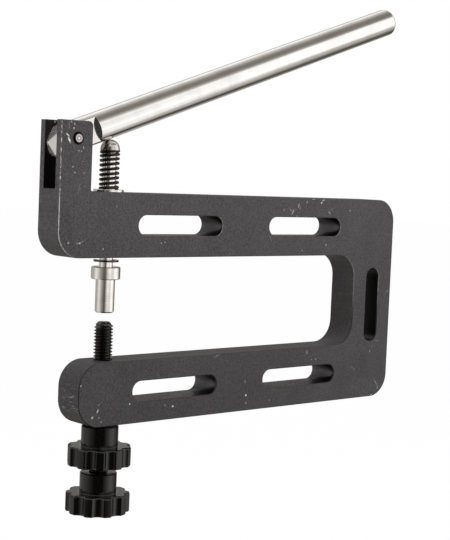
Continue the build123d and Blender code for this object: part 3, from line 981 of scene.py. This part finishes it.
def dark_finish(name, colour, grain, contrast, roughness, metallic, specular, bump_strength):
    """A dark finish with its own grain, gloss and bump. Returns what later steps refine."""
    material, tree, shader = start_material(name)
    spot, parts = in_millimetres(tree)
    speckle = use_group(tree, speckle_group, Vector=spot, Grain=grain, Contrast=contrast)
    tone = shade_colour(tree, colour, speckle["Shade"])
    plug(tree, shader, "Base Color", tone)
    gloss = remap(tree, speckle["Shade"], 0.5, 1.5, roughness * 0.75, roughness * 1.25)
    plug(tree, shader, "Roughness", gloss)
    plug(tree, shader, "Metallic", metallic)
    plug(tree, shader, "Specular IOR Level", specular)
    rough_surface(tree, shader, speckle["Height"], bump_strength, BUMP_DEPTH)
    return material, tree, shader, parts, tone


print("dark finishes have a bump of", BUMP_DEPTH, "mm")

# %% [markdown]
# The spring is oil-tempered wire, nearly black and a little shiny, so it is a metal with a dark colour.
# The stud and the clip are blackened steel, whose oily oxide is no metal but catches thin highlights. Both
# finishes keep a name, because the finer stud and spring need them below.

# %% Spring wire and black oxide
spring_wire = dark_finish(
    "spring_wire", colour=(0.046, 0.038, 0.030), grain=0.4, contrast=1.4, roughness=0.20,
    metallic=1.0, specular=0.5, bump_strength=0.15,
)[0]
oxide = dark_finish(
    "black_oxide", colour=(0.0012, 0.0011, 0.0010), grain=0.35, contrast=1.6, roughness=0.10,
    metallic=0.0, specular=0.8, bump_strength=0.12,
)[0]
paint_pieces(oxide, "anvil_screw", "retaining_clip")

# %% [markdown]
# The knobs are moulded plastic, glossy, with the fine orange-peel of the mould. A thin paler ring is a
# painted highlight on top of each lobed head, at the foot of the hub.

# %% The knobs
FOOT_RING = (5.9, 6.45)
FOOT_PAINTED_HIGHLIGHT = (0.06, 0.055, 0.055)

plastic, tree, shader, (x, y, _), tone = dark_finish(
    "knob_plastic", colour=(0.0010, 0.0009, 0.0009), grain=0.7, contrast=1.0, roughness=0.08,
    metallic=0.0, specular=0.60, bump_strength=0.05,
)
from_screw = distance_from(tree, x, PRESS_X, y, 0.0)
# A painted highlight: a paler ring on the top faces, round the foot of the hub.
foot_highlight = product(tree, band(tree, from_screw, *FOOT_RING, 0.15), remap(tree, facing(tree)["Z"], 0.8, 0.95))
plug(tree, shader, "Base Color", mix_colour(tree, foot_highlight, tone, FOOT_PAINTED_HIGHLIGHT))
paint_pieces(plastic, "screw_knob", "lock_knob")

# %% [markdown]
# The lock knob is moulded round a small brass bush. Brass is turned like steel, so it takes the same
# finish in a warmer colour and with less polish.

# %% The brass bush
brass = steel("bush_brass", colour=(0.72, 0.55, 0.30), ring=0.4, roughness=0.28, turn=UPRIGHT)[0]
paint_pieces(brass, "lock_knob_insert")

# %% [markdown]
# ## Two finer pieces
# The stud's thread and the spring are both a small profile wound round an axis and cut off straight at
# the ends. One helper cuts. The other turns the finished shape, drawn in millimetres, into an object, and
# keeps an edge sharp only where two faces meet at a steep angle.

# %% Cutting and finishing helpers
def cut_flat(shape, level, keep_above):
    """Cut straight across at a level, throw one side away and close the cut."""
    everything = list(shape.verts) + list(shape.edges) + list(shape.faces)
    cut = bmesh.ops.bisect_plane(
        shape, geom=everything, plane_co=(0, 0, level), plane_no=(0, 0, 1),
        clear_inner=keep_above, clear_outer=not keep_above,
    )
    rim = [item for item in cut["geom_cut"] if isinstance(item, bmesh.types.BMEdge)]
    bmesh.ops.contextual_create(shape, geom=rim)


def finish_mesh(shape, name, material, smooth_angle):
    """Turn a bmesh in millimetres into an object in metres, with soft shading below an angle."""
    bmesh.ops.scale(shape, vec=(MM, MM, MM), verts=shape.verts)
    bmesh.ops.recalc_face_normals(shape, faces=shape.faces)
    for face in shape.faces:
        face.smooth = True
    for edge in shape.edges:
        edge.smooth = edge.calc_face_angle(0.0) < math.radians(smooth_angle)
    print(name, "has", len(shape.faces), "faces")
    return mesh_object(name, shape, material)


print("helpers for the stud and the spring ready")

# %% [markdown]
# ## The screw's thread
# The CAD stud is a plain cylinder. A real thread is one small V-shaped profile that climbs one pitch in
# every turn. We draw that profile once, spin it with a little lift at each step, and weld each turn to
# the next, a few turns too many, to have some to cut off.

# %% Wind the thread
STUD_TOP = -4.1
STUD_FOOT = -59.1
THREAD_PITCH = 1.0
THREAD_MAJOR = 2.98
THREAD_MINOR = 2.40
THREAD_STEPS = 40
THREAD_START = 0.18
SPARE_BELOW = 2.0
SPARE_TURNS = 4
WELD_DISTANCE = 0.002
THREAD_PROFILE = (
    (THREAD_MINOR, 0.0), (THREAD_MINOR, 0.22), (THREAD_MAJOR, 0.555), (THREAD_MAJOR, 0.665),
    (THREAD_MINOR, 1.0),
)

shape = bmesh.new()
lowest = STUD_FOOT - SPARE_BELOW + THREAD_START
points = [shape.verts.new((radius, 0.0, lowest + rise * THREAD_PITCH)) for radius, rise in THREAD_PROFILE]
edges = [shape.edges.new(pair) for pair in zip(points, points[1:])]
turns = int((STUD_TOP - STUD_FOOT) / THREAD_PITCH) + SPARE_TURNS
bmesh.ops.spin(
    shape, geom=points + edges, cent=(0, 0, 0), axis=(0, 0, 1), dvec=(0, 0, THREAD_PITCH / THREAD_STEPS),
    angle=2 * math.pi * turns, steps=THREAD_STEPS * turns, use_merge=False, use_duplicate=False,
)
bmesh.ops.remove_doubles(shape, verts=shape.verts, dist=WELD_DISTANCE)
print("the thread is wound in", turns, "turns")

# %% [markdown]
# Both ends are cut to length, and turned down to a short cone, so that the thread starts easily. A cone
# is only a limit on the radius that shrinks towards the end.

# %% Cut the stud to length and hand it over
TIP_CHAMFER = 1.3
THREAD_SMOOTH = 35.0

cut_flat(shape, STUD_TOP, keep_above=False)
cut_flat(shape, STUD_FOOT, keep_above=True)
for vert in shape.verts:
    from_end = min(STUD_TOP - vert.co.z, vert.co.z - STUD_FOOT)
    limit = THREAD_MAJOR - max(0.0, TIP_CHAMFER - from_end)
    radius = math.hypot(vert.co.x, vert.co.y)
    if radius > limit:
        vert.co.x *= limit / radius
        vert.co.y *= limit / radius
bmesh.ops.translate(shape, vec=(PRESS_X, 0, 0), verts=shape.verts)
stud = finish_mesh(shape, "anvil_stud", oxide, THREAD_SMOOTH)
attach(stud, "anvil")
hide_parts("anvil_screw")

# %% [markdown]
# ## The return spring
# A compression spring is a round wire wound on a helix, wound closer at both ends and ground flat, so
# that it stands square on the washer. We spin a small circle, and change the lift from turn to turn. The
# circle first stands across the wire, leaning with the climb of the first turn.

# %% Wind the spring
SPRING_LOW = 36.8
SPRING_HIGH = 48.837
WIRE = 0.9
WIRE_SEGMENTS = 14
COIL_OUTSIDE = 6.3
COIL_RADIUS = (COIL_OUTSIDE - WIRE) / 2
SPRING_START = math.radians(-42.0)
FIRST_HEIGHT = 36.63
TURN_LIFTS = (0.90, 1.46, 1.45, 1.40, 1.51, 1.52, 1.42, 1.33, 1.03)
LAST_HALF_LIFT = 0.40
COIL_STEPS = 32


def wind(shape, section, lift, turn):
    """Wind a section round the axis, rising by a lift, and return the new end section."""
    steps = round(COIL_STEPS * turn)
    wound = bmesh.ops.spin(
        shape, geom=section, cent=(0, 0, 0), axis=(0, 0, 1), dvec=(0, 0, lift / steps),
        angle=2 * math.pi * turn, steps=steps, use_merge=False, use_duplicate=False,
    )
    return [item for item in wound["geom_last"] if not isinstance(item, bmesh.types.BMFace)]


shape = bmesh.new()
bmesh.ops.create_circle(shape, segments=WIRE_SEGMENTS, radius=WIRE / 2)
lean = math.atan2(TURN_LIFTS[0], 2 * math.pi * COIL_RADIUS)
upended = Matrix.Rotation(math.radians(90) + lean, 3, "X")
bmesh.ops.rotate(shape, cent=(0, 0, 0), matrix=upended, verts=shape.verts)
bmesh.ops.translate(shape, vec=(COIL_RADIUS, 0, FIRST_HEIGHT), verts=shape.verts)
started = Matrix.Rotation(SPRING_START, 3, "Z")
bmesh.ops.rotate(shape, cent=(0, 0, 0), matrix=started, verts=shape.verts)
bmesh.ops.contextual_create(shape, geom=shape.edges[:])
end = list(shape.verts) + list(shape.edges)
for lift in TURN_LIFTS:
    end = wind(shape, end, lift, 1.0)
end = wind(shape, end, LAST_HALF_LIFT, 0.5)
bmesh.ops.contextual_create(shape, geom=[item for item in end if isinstance(item, bmesh.types.BMEdge)])
print("the spring is wound in", len(TURN_LIFTS) + 0.5, "turns")

# %% [markdown]
# Grinding flattens both ends. The spring's foot stands on the frame and its head under the plunger's
# dome.

# %% Grind the spring's ends and hand it over
WIRE_SMOOTH = 50.0

cut_flat(shape, SPRING_LOW, keep_above=True)
cut_flat(shape, SPRING_HIGH, keep_above=False)
bmesh.ops.translate(shape, vec=(PRESS_X, 0, 0), verts=shape.verts)
spring = finish_mesh(shape, "coil_spring", spring_wire, WIRE_SMOOTH)
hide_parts("return_spring")
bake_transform(spring)
